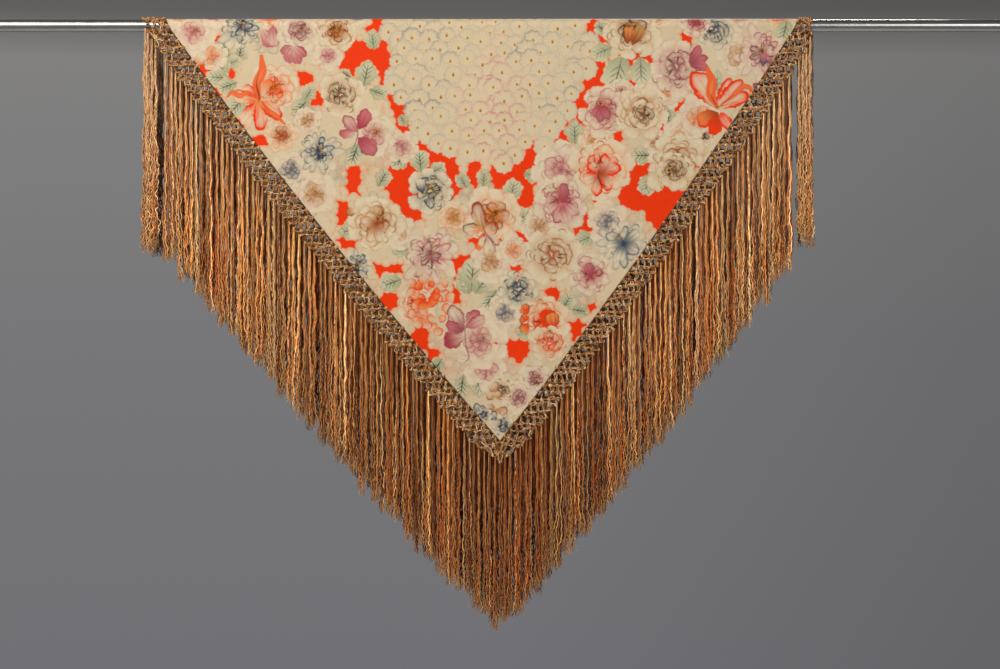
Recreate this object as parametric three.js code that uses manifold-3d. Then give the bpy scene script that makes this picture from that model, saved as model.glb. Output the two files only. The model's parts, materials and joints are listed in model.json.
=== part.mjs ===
// Square silk shawl with a knotted header and a long fringe along all four sides, folded corner
// to corner over a horizontal rail. Millimetres: +X along the rail, -Y to the front, +Z up.
// The origin is on the axis that the fold curves round, half way along the fold.
import * as THREE from 'three';
import { mergeVertices } from 'three/addons/utils/BufferGeometryUtils.js';
import Module from 'manifold-3d';

const wasm = await Module();
wasm.setup();

// The fold over the rail: the middle of the cloth lies on a half circle of this radius.
const FOLD_RADIUS = 19;
const FOLD_FACETS = 15;
const TANGENT_GAP = 0.6;

// The silk square: half its fold line, and the corner that hangs lowest on each side.
const SILK_HALF = 657;
const FOLD_OVERHANG = 11;
const APEX_X = 38;
const APEX_Z = -869;
const EDGE_BULGE = 13;
const SILK_THICK = 1.2;

// The edge finish: a rolled hem, then the knotted header that the cords hang from.
const HEM_WIDTH = 4;
const HEM_THICK = 2.4;
const HEADER_WIDTH = 50;
const HEADER_THICK = 2;
const HEADER_END = { left: 716, right: 698 };
const HEADER_APEX_DEPTH = 48;
const SEAM_GAP = 0.4;

// The fringe: cords in groups, each of which swings on the header's lower edge.
const FRINGE_THICK = 4;
const HINGE_GAP = 3;
const GROUP_GAP = 2.6;
const DROP_AT_FOLD = 490;
const DROP_AT_APEX = 412;
const APEX_GROUP_DROP = 385;
const APEX_GROUP_HALF = 27;
const CORNER_GROUP_WIDTH = 46;
const CORNER_GROUP_BOTTOM = { left: -482, right: -455 };
const GROUPS_PER_EDGE = ['upper', 'middle', 'lower'];

const EDGE_STEPS = 8;
const SIGN = { left: -1, right: 1 };
const LAYER_Y = { front: -FOLD_RADIUS, back: FOLD_RADIUS };

const SILK = new THREE.MeshStandardMaterial({ color: 0xdccba6, roughness: 0.45, metalness: 0 });
const HEM = new THREE.MeshStandardMaterial({ color: 0x8a5a30, roughness: 0.6, metalness: 0 });
const NET = new THREE.MeshStandardMaterial({ color: 0xb0783f, roughness: 0.65, metalness: 0 });
const CORDS = new THREE.MeshStandardMaterial({ color: 0xc9a27a, roughness: 0.6, metalness: 0 });

const shawl = new THREE.Group();

function addPiece(name, geometry, material) {
  const mesh = new THREE.Mesh(geometry, material.clone());
  mesh.name = name;
  shawl.add(mesh);
  return mesh;
}

// Solids for manifold-3d and back, for the pieces that wrap over the rail.
function toSolid(geometry) {
  const bare = geometry.clone();
  bare.deleteAttribute('normal');
  bare.deleteAttribute('uv');
  const merged = mergeVertices(bare, 1e-4);
  const mesh = new wasm.Mesh({
    numProp: 3,
    vertProperties: new Float32Array(merged.attributes.position.array),
    triVerts: new Uint32Array(merged.index.array),
  });
  return new wasm.Manifold(mesh);
}

function toGeometry(solid) {
  const mesh = solid.getMesh();
  const geometry = new THREE.BufferGeometry();
  geometry.setAttribute('position', new THREE.BufferAttribute(mesh.vertProperties, 3));
  geometry.setIndex(new THREE.BufferAttribute(mesh.triVerts, 1));
  geometry.computeVertexNormals();
  return geometry;
}

// A flat outline in X and Z, given a thickness in Y about the plane y = middle.
function slab(outline, middle, thickness) {
  const geometry = new THREE.ExtrudeGeometry(new THREE.Shape(outline), {
    depth: thickness,
    bevelEnabled: false,
  });
  const place = new THREE.Matrix4().makeBasis(
    new THREE.Vector3(1, 0, 0),
    new THREE.Vector3(0, 0, 1),
    new THREE.Vector3(0, -1, 0),
  );
  place.setPosition(0, middle + thickness / 2, 0);
  return geometry.applyMatrix4(place);
}

// The half cylinder of cloth over the rail, of this thickness, from x = from to x = to.
function foldShell(thickness, from, to) {
  const ring = (radius) => {
    const points = [];
    for (let i = 0; i <= FOLD_FACETS; i += 1) {
      const angle = (Math.PI * i) / FOLD_FACETS;
      points.push(new THREE.Vector2(radius * Math.cos(angle), radius * Math.sin(angle)));
    }
    return points;
  };
  const outer = ring(FOLD_RADIUS + thickness / 2);
  const inner = ring(FOLD_RADIUS - thickness / 2).reverse();
  const geometry = new THREE.ExtrudeGeometry(new THREE.Shape([...outer, ...inner]), {
    depth: to - from,
    bevelEnabled: false,
  });
  const place = new THREE.Matrix4().makeBasis(
    new THREE.Vector3(0, 1, 0),
    new THREE.Vector3(0, 0, 1),
    new THREE.Vector3(1, 0, 0),
  );
  place.setPosition(from, 0, 0);
  return toSolid(geometry.applyMatrix4(place));
}

// The silk's outline over the fold, seen from the front and grown outward, through all of Y.
function foldPrism(grown) {
  const low = SILK_HALF + grown;
  const high = SILK_HALF + FOLD_OVERHANG + grown;
  const top = 2 * FOLD_RADIUS;
  const spread = low + ((high - low) * top) / FOLD_RADIUS;
  const outline = [
    new THREE.Vector2(-low, 0),
    new THREE.Vector2(low, 0),
    new THREE.Vector2(spread, top),
    new THREE.Vector2(-spread, top),
  ];
  return toSolid(slab(outline, 0, 4 * FOLD_RADIUS));
}

// One silk edge, from the fold down to the apex, moved outward: points and end directions.
function edgeCurve(side, outward) {
  const sign = SIGN[side];
  const outOf = (direction) => new THREE.Vector2(-sign * direction.y, sign * direction.x);
  const start = new THREE.Vector2(sign * SILK_HALF, 0);
  const end = new THREE.Vector2(APEX_X, APEX_Z);
  const chord = end.clone().sub(start).normalize();
  const control = start.clone().add(end).multiplyScalar(0.5);
  control.addScaledVector(outOf(chord), 2 * EDGE_BULGE);
  const curve = new THREE.QuadraticBezierCurve(start, control, end);
  const points = [];
  for (let i = 0; i <= EDGE_STEPS; i += 1) {
    const t = i / EDGE_STEPS;
    points.push(curve.getPoint(t).addScaledVector(outOf(curve.getTangent(t)), outward));
  }
  return { points, first: curve.getTangent(0), last: curve.getTangent(1) };
}

// The place on a line where x, or y, has a given value.
function lineAt(point, direction, key, value) {
  return point.clone().addScaledVector(direction, (value - point[key]) / direction[key]);
}

// The same edge, run on straight or cut short, so that it ends on the shawl's middle line at the
// apex, or at the height toZ, and at the fold just under the tangent line, or at fromX.
function trimmedEdge(side, outward, fromX, toZ) {
  const sign = SIGN[side];
  const { points, first, last } = edgeCurve(side, outward);
  const apex = toZ === undefined
    ? lineAt(points.at(-1), last, 'x', APEX_X + (sign * SEAM_GAP) / 2)
    : lineAt(points.at(-1), last, 'y', toZ);
  const start = fromX === undefined
    ? lineAt(points[0], first, 'y', -TANGENT_GAP)
    : lineAt(points[0], first, 'x', fromX);
  const between = points.filter((p) => p.y < start.y && p.y > apex.y
    && sign * (p.x - apex.x) > 0 && sign * (start.x - p.x) > 0);
  return [start, ...between, apex];
}

// Where a polyline that runs steadily in x passes x.
function heightAt(points, x) {
  for (let i = 1; i < points.length; i += 1) {
    const [a, b] = [points[i - 1], points[i]];
    if ((a.x - x) * (b.x - x) <= 0) {
      return a.y + ((b.y - a.y) * (x - a.x)) / (b.x - a.x);
    }
  }
  throw new Error(`no point at x = ${x}`);
}

// How far the tips hang below the silk's edge: the cords are a little shorter near the apex.
function tipHeight(side, x) {
  const edge = heightAt(trimmedEdge(side, 0), x);
  return edge - THREE.MathUtils.lerp(DROP_AT_FOLD, DROP_AT_APEX, edge / APEX_Z);
}

// The cloth over the rail, its hems and the ends of the header that wrap over with it.
function addFold() {
  const silk = foldShell(SILK_THICK, -2 * SILK_HALF, 2 * SILK_HALF).intersect(foldPrism(0));
  addPiece('silk_fold', toGeometry(silk), SILK);
  for (const [side, sign] of Object.entries(SIGN)) {
    const span = [0, sign * 2 * SILK_HALF].sort((a, b) => a - b);
    const hem = foldShell(HEM_THICK, ...span)
      .intersect(foldPrism(SEAM_GAP + HEM_WIDTH))
      .subtract(foldPrism(SEAM_GAP));
    addPiece(`hem_fold_${side}`, toGeometry(hem), HEM);
    const headerSpan = [0, sign * HEADER_END[side]].sort((a, b) => a - b);
    const header = foldShell(HEADER_THICK, ...headerSpan)
      .subtract(foldPrism(2 * SEAM_GAP + HEM_WIDTH));
    addPiece(`header_fold_${side}`, toGeometry(header), NET);
  }
}

// One hanging half of the square, with its two hems and two headers.
function addLayer(layer) {
  const y = LAYER_Y[layer];
  const silk = [...trimmedEdge('left', 0).slice(0, -1), new THREE.Vector2(APEX_X, APEX_Z),
    ...trimmedEdge('right', 0).slice(0, -1).reverse()];
  addPiece(`silk_${layer}`, slab(silk, y, SILK_THICK), SILK);
  for (const [side, sign] of Object.entries(SIGN)) {
    const hem = [...trimmedEdge(side, SEAM_GAP),
      ...trimmedEdge(side, SEAM_GAP + HEM_WIDTH).reverse()];
    addPiece(`hem_${layer}_${side}`, slab(hem, y, HEM_THICK), HEM);
    const endX = sign * HEADER_END[side];
    const low = APEX_Z - HEADER_APEX_DEPTH;
    const header = [...trimmedEdge(side, 2 * SEAM_GAP + HEM_WIDTH),
      new THREE.Vector2(APEX_X + (sign * SEAM_GAP) / 2, low),
      ...trimmedEdge(side, HEADER_WIDTH, endX, low).reverse(),
      new THREE.Vector2(endX, -TANGENT_GAP)];
    addPiece(`header_${layer}_${side}`, slab(header, y, HEADER_THICK), NET);
  }
}

// A group of cords between x = outer and x = inner, hanging from the header's lower edge. Its top
// is the straight line that it swings on, kept with the mesh as two points.
function addGroup(layer, side, name, outer, inner, tips) {
  const sign = SIGN[side];
  const hinge = trimmedEdge(side, HEADER_WIDTH + HINGE_GAP, sign * (HEADER_END[side] + 1));
  const [x0, x1] = [outer - (sign * GROUP_GAP) / 2, inner + (sign * GROUP_GAP) / 2];
  const top = [x0, x1].map((x) => new THREE.Vector2(x, heightAt(hinge, x)));
  const bottom = [x1, x0].map((x, i) => new THREE.Vector2(x, tips[1 - i]));
  const y = LAYER_Y[layer];
  const cords = addPiece(`fringe_${layer}_${name}`, slab([...top, ...bottom], y, FRINGE_THICK), CORDS);
  cords.userData.hinge = top.map((p) => [p.x, y, p.y]);
}

// The cords below the apex, which swing together on a level line.
function addApexGroup(layer) {
  const half = APEX_GROUP_HALF - GROUP_GAP / 2;
  const [x0, x1] = [APEX_X - half, APEX_X + half];
  const level = APEX_Z - HEADER_APEX_DEPTH - HINGE_GAP;
  const outline = [
    new THREE.Vector2(x0, level),
    new THREE.Vector2(x1, level),
    new THREE.Vector2(x1, tipHeight('right', x1)),
    new THREE.Vector2(APEX_X, APEX_Z - APEX_GROUP_DROP),
    new THREE.Vector2(x0, tipHeight('left', x0)),
  ];
  const y = LAYER_Y[layer];
  const cords = addPiece(`fringe_${layer}_apex`, slab(outline, y, FRINGE_THICK), CORDS);
  cords.userData.hinge = [[x0, y, level], [x1, y, level]];
}

function addFringe(layer) {
  for (const [side, sign] of Object.entries(SIGN)) {
    const end = sign * HEADER_END[side];
    const corner = end - sign * CORNER_GROUP_WIDTH;
    const low = CORNER_GROUP_BOTTOM[side];
    addGroup(layer, side, `${side}_corner`, end, corner, [low, low]);
    const inner = APEX_X + sign * APEX_GROUP_HALF;
    const count = GROUPS_PER_EDGE.length;
    const silkEnd = sign * (SILK_HALF - 1);
    GROUPS_PER_EDGE.forEach((place, i) => {
      const x0 = THREE.MathUtils.lerp(corner, inner, i / count);
      const x1 = THREE.MathUtils.lerp(corner, inner, (i + 1) / count);
      const tips = [x0, x1].map((x) => tipHeight(side, sign * Math.min(sign * x, sign * silkEnd)));
      addGroup(layer, side, `${side}_${place}`, x0, x1, tips);
    });
  }
  addApexGroup(layer);
}

addFold();
for (const layer of Object.keys(LAYER_Y)) {
  addLayer(layer);
  addFringe(layer);
}

export default shawl;
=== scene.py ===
# The looks of the fringed silk shawl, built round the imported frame. Lengths are in millimetres until
# a mesh is made: x runs along the rail, v runs up the cloth, and v = 0 is where the fold ends.
import json
import math

import bpy
import numpy as np
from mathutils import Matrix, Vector


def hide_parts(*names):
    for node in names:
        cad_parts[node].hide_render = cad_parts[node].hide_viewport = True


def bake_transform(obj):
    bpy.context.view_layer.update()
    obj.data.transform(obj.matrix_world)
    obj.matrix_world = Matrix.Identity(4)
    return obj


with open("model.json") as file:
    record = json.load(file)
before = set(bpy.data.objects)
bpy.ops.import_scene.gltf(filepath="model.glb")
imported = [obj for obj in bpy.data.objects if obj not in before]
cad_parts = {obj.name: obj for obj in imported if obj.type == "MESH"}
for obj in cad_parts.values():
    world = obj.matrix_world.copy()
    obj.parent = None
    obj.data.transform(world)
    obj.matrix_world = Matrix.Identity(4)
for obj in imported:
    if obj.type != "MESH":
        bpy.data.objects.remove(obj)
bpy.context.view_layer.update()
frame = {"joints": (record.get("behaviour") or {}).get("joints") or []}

MM = 0.001
SIDES = {"left": -1.0, "right": 1.0}
LAYERS = {"front": -1.0, "back": 1.0}

# The fold over the rail and the silk's outline, as in the CAD.
FOLD_RADIUS = 19.0
RIDGE_V = FOLD_RADIUS * math.pi / 2
SILK_HALF = 657.0
RIDGE_HALF = 668.0
APEX_X = 38.0
APEX_V = -869.0
EDGE_BULGE = 13.0
HEADER_WIDTH = 50.0
HEADER_APEX_DEPTH = 48.0
HEADER_END = {"left": 716.0, "right": 698.0}


def rgb(*channels):
    """A colour from sRGB values of 0 to 255, as linear light."""
    c = np.array(channels, float) / 255
    return np.where(c <= 0.04045, c / 12.92, ((c + 0.055) / 1.055) ** 2.4)


def smooth(t):
    t = np.clip(t, 0, 1)
    return t * t * (3 - 2 * t)


def unit(vectors):
    return vectors / np.maximum(np.linalg.norm(vectors, axis=-1, keepdims=True), 1e-9)


# ---------------------------------------------------------------- the cloth's shape


def drape(x, v, layer):
    """How far the hanging cloth stands out from flat: shallow folds that grow downward."""
    x, v = np.broadcast_arrays(np.asarray(x, float), np.asarray(v, float))
    turn = 0.6 if layer == "front" else 2.9
    depth = smooth(-v / 160) * (0.45 + 0.55 * smooth(-v / 700))
    long_fold = 2.2 * np.sin(x / 41 + turn + 0.0021 * v)
    short_fold = 1.1 * np.sin(x / 19.5 + 2 * turn + 0.006 * v)
    slant = 0.9 * np.sin((x + 0.9 * v) / 33 + turn)
    return depth * (long_fold + short_fold + slant)


def place(layer, x, v, out=0.0):
    """Points on a layer of the cloth, out millimetres proud of it."""
    x, v, out = np.broadcast_arrays(*(np.asarray(a, float) for a in (x, v, out)))
    radius = FOLD_RADIUS + out + drape(x, v, layer)
    angle = np.clip(v, 0, None) / FOLD_RADIUS
    y = LAYERS[layer] * radius * np.cos(angle)
    z = np.where(v > 0, radius * np.sin(angle), v)
    return np.stack([x, y, z], axis=-1)


def edge_line(side):
    """The silk's edge from the apex up to the ridge, as points, lengths along it and outward directions."""
    sign = SIDES[side]
    start, end = np.array([sign * SILK_HALF, 0.0]), np.array([APEX_X, APEX_V])
    chord = unit(end - start)
    control = (start + end) / 2 + 2 * EDGE_BULGE * np.array([-sign * chord[1], sign * chord[0]])
    t = np.linspace(1, 0, 600)[:, None]
    hanging = (1 - t) ** 2 * start + 2 * t * (1 - t) * control + t**2 * end
    over = np.linspace(0, 1, 12)[1:, None]
    ridge = np.array([sign * RIDGE_HALF, RIDGE_V])
    points = np.concatenate([hanging, start + over * (ridge - start)])
    along = np.concatenate([[0], np.cumsum(np.linalg.norm(np.diff(points, axis=0), axis=1))])
    tangent = unit(np.gradient(points, along, axis=0))
    outward = np.stack([sign * tangent[:, 1], -sign * tangent[:, 0]], axis=-1)
    # the strips that finish the edge turn straight down at the apex and along the rail at the ridge
    length = along[-1]
    down = (1 - smooth(along / 60))[:, None]
    outward = unit(outward * (1 - down) + np.array([0.0, -1.0]) * down)
    across = smooth((along - length + 62) / 62)[:, None]
    outward = unit(outward * (1 - across) + np.array([sign, 0.0]) * across)
    end_width = (HEADER_END[side] - RIDGE_HALF) / HEADER_WIDTH
    reach = 1 + (HEADER_APEX_DEPTH / HEADER_WIDTH - 1) * down[:, 0] + (end_width - 1) * across[:, 0]
    return {"points": points, "along": along, "outward": outward, "reach": reach, "length": length}


EDGES = {side: edge_line(side) for side in SIDES}


def beside(side, along, outward):
    """The place so far along a silk edge, from the apex, and so far outward from it: x and v."""
    edge = EDGES[side]
    look = lambda values: np.interp(along, edge["along"], values)
    reach = look(edge["reach"]) * outward
    x = look(edge["points"][:, 0]) + reach * look(edge["outward"][:, 0])
    v = look(edge["points"][:, 1]) + reach * look(edge["outward"][:, 1])
    return x, v


def outline_x(side, v):
    """Where the silk's edge is at height v."""
    points = EDGES[side]["points"]
    return np.interp(v, points[:, 1], points[:, 0])


# ---------------------------------------------------------------- meshes


def mesh_piece(name, points, faces, colours, material):
    """A mesh object from arrays: points in mm, faces of one size, and a colour at each point."""
    mesh = bpy.data.meshes.new(name)
    mesh.vertices.add(len(points))
    mesh.vertices.foreach_set("co", (points * MM).astype(np.float32).ravel())
    mesh.loops.add(faces.size)
    mesh.loops.foreach_set("vertex_index", faces.astype(np.int32).ravel())
    mesh.polygons.add(len(faces))
    starts = np.arange(0, faces.size, faces.shape[1], dtype=np.int32)
    mesh.polygons.foreach_set("loop_start", starts)
    mesh.update(calc_edges=True)
    mesh.shade_smooth()
    # the colour at each point: the dye and print, and on the edging and fringe painted light and shade as
    # well
    dye_and_painted_shade = mesh.color_attributes.new("dye_and_painted_shade", "FLOAT_COLOR", "POINT")
    rgba = np.ones((len(points), 4), np.float32)
    rgba[:, :3] = colours
    dye_and_painted_shade.data.foreach_set("color", rgba.ravel())
    mesh.materials.append(material)
    piece = bpy.data.objects.new(name, mesh)
    bpy.context.scene.collection.objects.link(piece)
    return piece


def tubes(paths, radii, sides, colours, reference, closed=False):
    """Round tubes along many paths of the same number of points. Returns points, faces, colours."""
    paths = np.asarray(paths, float)
    count, steps = paths.shape[:2]
    radii = np.broadcast_to(radii, (count, steps))
    colours = np.broadcast_to(colours, (count, steps, 3))
    if closed:
        tangent = np.roll(paths, -1, axis=1) - np.roll(paths, 1, axis=1)
    else:
        tangent = np.gradient(paths, axis=1)
    tangent = unit(tangent)
    first = unit(np.cross(tangent, np.asarray(reference, float)))
    second = np.cross(tangent, first)
    angle = np.arange(sides) * 2 * math.pi / sides
    ring = first[:, :, None] * np.cos(angle)[:, None] + second[:, :, None] * np.sin(angle)[:, None]
    points = paths[:, :, None] + ring * radii[:, :, None, None]
    index = np.arange(count * steps * sides).reshape(count, steps, sides)
    after = np.roll(index, -1, axis=1) if closed else index[:, 1:]
    before = index if closed else index[:, :-1]
    faces = np.stack(
        [before, np.roll(before, -1, axis=2), np.roll(after, -1, axis=2), after], axis=-1
    )
    shades = np.repeat(colours[:, :, None], sides, axis=2)
    return points.reshape(-1, 3), faces.reshape(-1, 4), shades.reshape(-1, 3)


def joined(parts):
    """Several (points, faces, colours) as one."""
    offset, points, faces, colours = 0, [], [], []
    for p, f, c in parts:
        points.append(p)
        faces.append(f + offset)
        colours.append(c)
        offset += len(p)
    return np.concatenate(points), np.concatenate(faces), np.concatenate(colours)


# ---------------------------------------------------------------- materials


class Nodes:
    """A material's node tree, with a few short calls to build it."""

    def __init__(self, name):
        self.material = bpy.data.materials.new(name)
        self.material.use_nodes = True
        self.tree = self.material.node_tree
        self.shader = self.tree.nodes["Principled BSDF"]

    def add(self, kind, inputs=(), **settings):
        node = self.tree.nodes.new(kind)
        for key, value in settings.items():
            setattr(node, key, value)
        for key, value in dict(inputs).items():
            if isinstance(value, bpy.types.NodeSocket):
                self.tree.links.new(value, node.inputs[key])
            else:
                node.inputs[key].default_value = value
        return node

    def link(self, socket, key):
        self.tree.links.new(socket, self.shader.inputs[key])

    def constant(self, **values):
        for key, value in values.items():
            self.shader.inputs[key.replace("_", " ")].default_value = value

    def waves(self, vector, period, angle, distortion=0.0):
        """Bands of this period in metres, turned by angle about Y."""
        turned = self.add("ShaderNodeMapping", {"Vector": vector, "Rotation": (0, angle, 0)})
        return self.add(
            "ShaderNodeTexWave",
            {
                "Vector": turned.outputs["Vector"],
                "Scale": 2 * math.pi / 20 / period,
                "Distortion": distortion,
                "Detail": 1.0,
            },
            bands_direction="X",
        ).outputs["Fac"]

    def noise(self, vector, scale, detail=3.0):
        return self.add(
            "ShaderNodeTexNoise", {"Vector": vector, "Scale": scale, "Detail": detail}
        ).outputs["Fac"]

    def remap(self, socket, low, high):
        return self.add(
            "ShaderNodeMapRange",
            {"Value": socket, "From Min": 0.0, "From Max": 1.0, "To Min": low, "To Max": high},
        ).outputs["Result"]

    def math(self, operation, a, b):
        return self.add("ShaderNodeMath", {0: a, 1: b}, operation=operation).outputs[0]

    def shaded(self, colour, factor):
        """The colour, multiplied by a number socket."""
        return self.add(
            "ShaderNodeVectorMath", {0: colour, "Scale": factor}, operation="SCALE"
        ).outputs[0]

    def bump(self, height, strength, distance):
        node = self.add(
            "ShaderNodeBump", {"Height": height, "Strength": strength, "Distance": distance}
        )
        self.link(node.outputs["Normal"], "Normal")


def silk_material():
    """Printed silk: a fine twill on the bias, since the cloth hangs from corner to corner."""
    n = Nodes("printed_silk")
    where = n.add("ShaderNodeTexCoord").outputs["Object"]
    dye_and_painted_shade = n.add("ShaderNodeAttribute", attribute_name="dye_and_painted_shade").outputs["Color"]
    warp = n.waves(where, 0.0008, math.radians(48))
    weft = n.waves(where, 0.0008, math.radians(-42))
    twill = n.waves(where, 0.0017, math.radians(4), 0.6)
    weave = n.math("ADD", n.math("MULTIPLY", warp, weft), n.math("MULTIPLY", twill, 0.5))
    mottle = n.remap(n.noise(where, 60.0), 0.95, 1.05)
    threads = n.remap(weave, 0.965, 1.02)
    n.link(n.shaded(dye_and_painted_shade, n.math("MULTIPLY", mottle, threads)), "Base Color")
    n.link(n.remap(n.noise(where, 220.0), 0.44, 0.6), "Roughness")
    creases = n.math("MULTIPLY", n.noise(where, 26.0, 2.0), 3.0)
    n.bump(n.math("ADD", weave, creases), 0.3, 0.0003)
    n.constant(Sheen_Weight=0.03, Sheen_Roughness=0.4, Specular_IOR_Level=0.12)
    return n.material


def floss_material(name, period, sheen):
    """Crinkled rayon floss, with the twist of its fibres."""
    n = Nodes(name)
    where = n.add("ShaderNodeTexCoord").outputs["Object"]
    dye_and_painted_shade = n.add("ShaderNodeAttribute", attribute_name="dye_and_painted_shade").outputs["Color"]
    twist = n.waves(where, period, math.radians(62), 1.5)
    fibre = n.noise(where, 900.0, 2.0)
    shade = n.math("MULTIPLY", n.remap(twist, 0.8, 1.1), n.remap(fibre, 0.85, 1.15))
    n.link(n.shaded(dye_and_painted_shade, shade), "Base Color")
    n.link(n.remap(fibre, 0.42, 0.62), "Roughness")
    n.bump(n.math("ADD", twist, fibre), 0.5, 0.0003)
    n.constant(Sheen_Weight=sheen, Sheen_Roughness=0.35, Specular_IOR_Level=0.3)
    return n.material


SILK = silk_material()
HEM = floss_material("whipped_hem", 0.0012, 0.1)
NET = floss_material("knotted_floss", 0.0022, 0.05)
CORDS = floss_material("fringe_floss", 0.0026, 0.16)

# ---------------------------------------------------------------- the print

CREAM = rgb(226, 204, 167)
PALE = rgb(235, 217, 183)
BLUSH = rgb(226, 188, 166)
PINK = rgb(208, 118, 118)
ROSE = rgb(178, 62, 76)
MAUVE = rgb(160, 84, 92)
ORANGE = rgb(252, 60, 0)
APRICOT = rgb(246, 146, 80)
TAN = rgb(206, 146, 84)
RUST = rgb(170, 76, 30)
BROWN = rgb(92, 50, 28)
INK = rgb(48, 46, 38)
BLUE = rgb(44, 64, 88)
SLATE = rgb(104, 118, 124)
SAGE = rgb(178, 176, 136)
LEAF_PALE = rgb(218, 210, 172)
FOREST = rgb(44, 66, 46)
GOLD = rgb(206, 148, 40)
YELLOW = rgb(238, 206, 132)


GOLDEN_ANGLE = 137.5
# The petals that scallop the orange ground stand near the points of a grid.
SCALLOP_PITCH = 11.0
SCALLOP_X, SCALLOP_V = -720.0, -900.0
SCALLOP_COLUMNS, SCALLOP_ROWS = 131, 88
FAR = 99.0


def toward(colour, other, share):
    """The colour, mixed with this share of the other."""
    return colour + share * (other - colour)


class Print:
    """The dyed colours at points x, v of the cloth, painted shape by shape."""

    def __init__(self, x, v, seed):
        self.x, self.v = x, v
        self.dice = np.random.default_rng(seed)
        self.lattice = self.dice.random((64, 64))
        self.dyed = np.tile(CREAM, (len(x), 1))

    def noise(self, x, v, size, shift=0.0):
        """Smooth noise from 0 to 1 with features of this size."""
        a, b = x / size + 7.3 + shift, v / size + 19.1 + 2.7 * shift
        i, j = np.floor(a).astype(int), np.floor(b).astype(int)
        s, t = smooth(a - i), smooth(b - j)
        corner = lambda di, dj: self.lattice[(i + di) % 64, (j + dj) % 64]
        low = corner(0, 0) * (1 - s) + corner(1, 0) * s
        high = corner(0, 1) * (1 - s) + corner(1, 1) * s
        return low * (1 - t) + high * t

    def near(self, x, v, reach):
        """The points within reach of a place, and how far they are from it."""
        dx, dv = self.x - x, self.v - v
        found = np.flatnonzero((np.abs(dx) < reach) & (np.abs(dv) < reach))
        return found, dx[found], dv[found]

    def lay(self, found, cover, colour):
        self.dyed[found] += np.clip(cover, 0, 1)[:, None] * (colour - self.dyed[found])

    def ground(self, patches, bands):
        """The orange ground: where it shows, the round petals of the cream flowers scallop its edge."""
        spots = [(x, v, 1.12 * rx + 4, 1.12 * rv + 4) for x, v, rx, rv in patches]
        for route, radius in bands:
            for (x0, v0), (x1, v1) in zip(route, route[1:]):
                steps = max(2, int(math.hypot(x1 - x0, v1 - v0) / (0.4 * radius)))
                for i in range(steps + 1):
                    t = i / steps
                    spots.append((x0 + t * (x1 - x0), v0 + t * (v1 - v0), radius, radius))
        i, j = np.meshgrid(np.arange(SCALLOP_COLUMNS), np.arange(SCALLOP_ROWS), indexing="ij")
        cx = SCALLOP_X + SCALLOP_PITCH * (i + self.dice.uniform(-0.35, 0.35, i.shape))
        cv = SCALLOP_V + SCALLOP_PITCH * (j + self.dice.uniform(-0.35, 0.35, j.shape))
        depth = np.full(i.shape, -FAR)
        for x, v, rx, rv in spots:
            inside = (1 - np.hypot((cx - x) / rx, (cv - v) / rv)) * min(rx, rv)
            depth = np.maximum(depth, inside)
        cream = depth < -2.0
        radius = SCALLOP_PITCH * self.dice.uniform(0.7, 1.0, i.shape)
        found = np.flatnonzero(self.near_spots(spots))
        x, v = self.x[found], self.v[found]
        a = np.rint((x - SCALLOP_X) / SCALLOP_PITCH).astype(int)
        b = np.rint((v - SCALLOP_V) / SCALLOP_PITCH).astype(int)
        edge, to_cream, to_orange = (np.full(len(found), FAR) for _ in range(3))
        for di in (-2, -1, 0, 1, 2):
            for dj in (-2, -1, 0, 1, 2):
                m = np.clip(a + di, 0, SCALLOP_COLUMNS - 1)
                n = np.clip(b + dj, 0, SCALLOP_ROWS - 1)
                away = np.hypot(x - cx[m, n], v - cv[m, n])
                edge = np.minimum(edge, np.where(cream[m, n], away - radius[m, n], FAR))
                to_cream = np.minimum(to_cream, np.where(cream[m, n], away, FAR))
                to_orange = np.minimum(to_orange, np.where(cream[m, n], FAR, away))
        edge = np.minimum(edge, 0.5 * (to_cream - to_orange) + 3.5)
        halo = np.exp(-((edge + 1.6) ** 2) / 3.5)
        self.lay(found, 0.45 * halo, APRICOT)
        self.lay(found, edge / 1.1 + 0.4, ORANGE)

    def near_spots(self, spots):
        """Which points may lie in any of the spots."""
        close = np.zeros(len(self.x), bool)
        for x, v, rx, rv in spots:
            close |= (np.abs(self.x - x) < rx + 14) & (np.abs(self.v - v) < rv + 14)
        return close

    def stroke(self, route, width, colour, strength=0.9):
        """A brush line through points, thinner at its ends."""
        route = np.array(route, float)
        t = np.linspace(0, len(route) - 1, 8 * len(route))
        bent = np.stack([np.interp(t, np.arange(len(route)), route[:, k]) for k in (0, 1)], axis=-1)
        kernel = np.array([1.0, 2, 3, 2, 1]) / 9
        for k in (0, 1):
            bent[2:-2, k] = np.convolve(bent[:, k], kernel, "valid")
        middle = bent.mean(axis=0)
        reach = np.abs(bent - middle).max() + width + 2
        found, dx, dv = self.near(middle[0], middle[1], reach)
        away = np.hypot(
            dx[:, None] - (bent[:, 0] - middle[0]), dv[:, None] - (bent[:, 1] - middle[1])
        )
        nearest = away.argmin(axis=1)
        part = nearest / (len(bent) - 1)
        half = width / 2 * (0.35 + 0.65 * np.sin(math.pi * np.clip(part, 0.04, 0.96)))
        self.lay(found, strength * np.clip((half - away.min(axis=1)) / 1.1 + 0.5, 0, 1), colour)

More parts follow.
